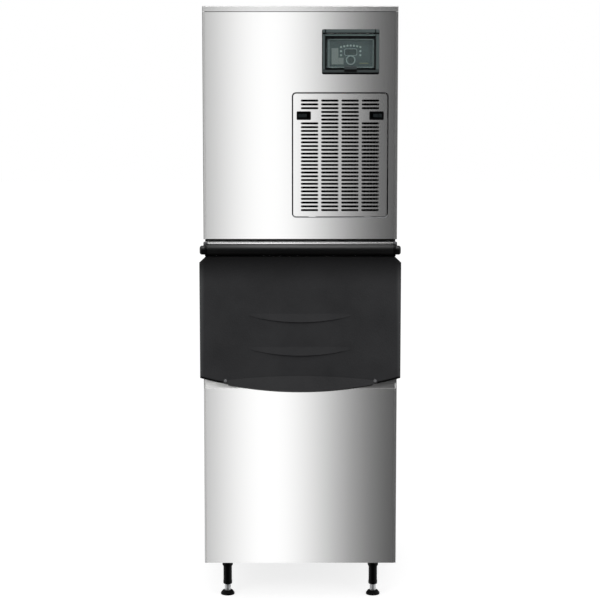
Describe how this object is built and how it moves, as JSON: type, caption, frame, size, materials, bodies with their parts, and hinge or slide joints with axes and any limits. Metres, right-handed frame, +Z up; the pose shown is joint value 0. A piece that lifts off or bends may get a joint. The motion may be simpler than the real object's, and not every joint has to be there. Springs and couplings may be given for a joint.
{
  "type": "ice machine",
  "caption": "Modular ice machine: a stainless head with a slotted air grille and a covered control window, on an insulated bin with a slanted lift-up door and levelling feet.",
  "frame": {"origin": "on the floor, under the middle of the whole machine's bounding box", "axes": "+Z up; -Y is the front, with the door, grille and control window; +X is to the right of a person who faces the front"},
  "size_m": [0.582, 0.8094, 1.696],
  "materials": {
    "bin_bottom_panel": "plain galvanised sheet",
    "bin_drain": "food-grade white",
    "bin_front_panel": "fine vertical brushed stainless",
    "bin_left_panel": "fine vertical brushed stainless",
    "bin_liner": "food-grade white",
    "bin_rear_panel": "plain galvanised sheet",
    "bin_right_panel": "fine vertical brushed stainless",
    "bin_top_deck": "fine vertical brushed stainless",
    "cable_gland": "satin black",
    "compressor": "satin black paint",
    "condenser": "finned coil",
    "control_button": "satin",
    "control_plate": "satin dark teal grey",
    "cover_catch": "satin black",
    "discharge_line": "drawn copper tube",
    "display_lens": "polished dark lens",
    "divider_panel": "plain galvanised sheet",
    "door_grip": "fine-grained black",
    "door_liner": "food-grade white",
    "door_roll": "satin black",
    "door_seal": "dull black",
    "door_shell": "fine-grained black",
    "electrical_box": "plain galvanised sheet",
    "evaporator_plate": "tinned plate",
    "fan_blade": "grey painted",
    "fan_motor": "dark painted",
    "fan_shroud": "satin black",
    "foot_front_left": "plated stem with a black pad",
    "foot_front_right": "plated stem with a black pad",
    "foot_rear_left": "plated stem with a black pad",
    "foot_rear_right": "plated stem with a black pad",
    "grille_panel": "fine vertical brushed stainless",
    "head_base": "plain galvanised sheet",
    "head_front_panel": "fine vertical brushed stainless",
    "head_gasket": "dull black foam rubber",
    "head_left_panel": "fine vertical brushed stainless",
    "head_rear_panel": "plain galvanised sheet",
    "head_right_panel": "fine vertical brushed stainless",
    "head_top_cover": "fine vertical brushed stainless",
    "hinge_cap_left": "satin black",
    "hinge_cap_right": "satin black",
    "latch_housing_left": "satin black",
    "latch_housing_right": "satin black",
    "latch_slide_left": "satin black",
    "latch_slide_right": "satin black",
    "leg_front_left": "satin black nylon",
    "leg_front_right": "satin black nylon",
    "leg_rear_left": "satin black nylon",
    "leg_rear_right": "satin black nylon",
    "liquid_line": "drawn copper tube",
    "mouth_trim": "satin black",
    "pump_riser": "pale hose",
    "suction_line": "drawn copper tube",
    "water_curtain": "translucent white",
    "water_distributor": "food-grade white",
    "water_inlet_valve": "plain brass",
    "water_pump": "dark moulded",
    "water_trough": "food-grade white",
    "window_cover": "clear, faintly smoked",
    "window_frame": "satin moulded"
  },
  "bodies": {
    "cabinet": {"bin_bottom_panel": "bin_bottom_panel", "bin_drain": "bin_drain", "bin_front_panel": "bin_front_panel", "bin_left_panel": "bin_left_panel", "bin_liner": "bin_liner", "bin_rear_panel": "bin_rear_panel", "bin_right_panel": "bin_right_panel", "bin_top_deck": "bin_top_deck", "cable_gland": "cable_gland", "compressor": "compressor", "condenser": "condenser", "control_plate": "control_plate", "discharge_line": "discharge_line", "display_lens": "display_lens", "divider_panel": "divider_panel", "electrical_box": "electrical_box", "evaporator_plate": "evaporator_plate", "fan_motor": "fan_motor", "fan_shroud": "fan_shroud", "head_base": "head_base", "head_front_panel": "head_front_panel", "head_gasket": "head_gasket", "head_left_panel": "head_left_panel", "head_rear_panel": "head_rear_panel", "head_right_panel": "head_right_panel", "head_top_cover": "head_top_cover", "hinge_cap_left": "hinge_cap_left", "hinge_cap_right": "hinge_cap_right", "leg_front_left": "leg_front_left", "leg_front_right": "leg_front_right", "leg_rear_left": "leg_rear_left", "leg_rear_right": "leg_rear_right", "liquid_line": "liquid_line", "mouth_trim": "mouth_trim", "pump_riser": "pump_riser", "suction_line": "suction_line", "water_distributor": "water_distributor", "water_inlet_valve": "water_inlet_valve", "water_pump": "water_pump", "water_trough": "water_trough", "window_frame": "window_frame"},
    "door": {"door_shell": "door_shell", "door_liner": "door_liner", "door_seal": "door_seal", "door_roll": "door_roll", "door_grip": "door_grip"},
    "window_lid": {"window_cover": "window_cover", "cover_catch": "cover_catch"},
    "grille": {"grille_panel": "grille_panel", "latch_housing_left": "latch_housing_left", "latch_housing_right": "latch_housing_right"},
    "latch_left": {"latch_slide_left": "latch_slide_left"},
    "latch_right": {"latch_slide_right": "latch_slide_right"},
    "button": {"control_button": "control_button"},
    "fan": {"fan_blade": "fan_blade"},
    "curtain": {"water_curtain": "water_curtain"},
    "foot_fl": {"foot_front_left": "foot_front_left"},
    "foot_fr": {"foot_front_right": "foot_front_right"},
    "foot_rl": {"foot_rear_left": "foot_rear_left"},
    "foot_rr": {"foot_rear_right": "foot_rear_right"}
  },
  "joints": [
    {"name": "door_hinge", "type": "hinge", "parent": "cabinet", "child": "door", "pos_m": [0, -0.23634, 0.9985], "axis": [-1, 0, 0], "range_deg": [0, 130]},
    {"name": "cover_hinge", "type": "hinge", "parent": "cabinet", "child": "window_lid", "pos_m": [0.1438, -0.21985, 1.6162], "axis": [-1, 0, 0], "range_deg": [0, 100]},
    {"name": "grille_tilt", "type": "hinge", "parent": "cabinet", "child": "grille", "pos_m": [0.1145, -0.21535, 1.0939], "axis": [1, 0, 0], "range_deg": [0, 15]},
    {"name": "latch_left_slide", "type": "slide", "parent": "grille", "child": "latch_left", "axis": [1, 0, 0], "range_m": [0, 0.006], "stiffness_N_per_m": 200},
    {"name": "latch_right_slide", "type": "slide", "parent": "grille", "child": "latch_right", "axis": [-1, 0, 0], "range_m": [0, 0.006], "stiffness_N_per_m": 200},
    {"name": "button_press", "type": "slide", "parent": "cabinet", "child": "button", "axis": [0, 1, 0], "range_m": [0, 0.002], "stiffness_N_per_m": 600},
    {"name": "fan_spin", "type": "hinge", "parent": "cabinet", "child": "fan", "pos_m": [0.1145, -0.11305, 1.2644], "axis": [0, 1, 0], "continuous": true},
    {"name": "curtain_swing", "type": "hinge", "parent": "cabinet", "child": "curtain", "pos_m": [-0.1544, 0.06566, 1.5634], "axis": [-1, 0, 0], "range_deg": [0, 20]},
    {"name": "foot_fl_screw", "type": "slide", "parent": "cabinet", "child": "foot_fl", "axis": [0, 0, -1], "range_m": [0, 0.015]},
    {"name": "foot_fr_screw", "type": "slide", "parent": "cabinet", "child": "foot_fr", "axis": [0, 0, -1], "range_m": [0, 0.015]},
    {"name": "foot_rl_screw", "type": "slide", "parent": "cabinet", "child": "foot_rl", "axis": [0, 0, -1], "range_m": [0, 0.015]},
    {"name": "foot_rr_screw", "type": "slide", "parent": "cabinet", "child": "foot_rr", "axis": [0, 0, -1], "range_m": [0, 0.015]}
  ]
}
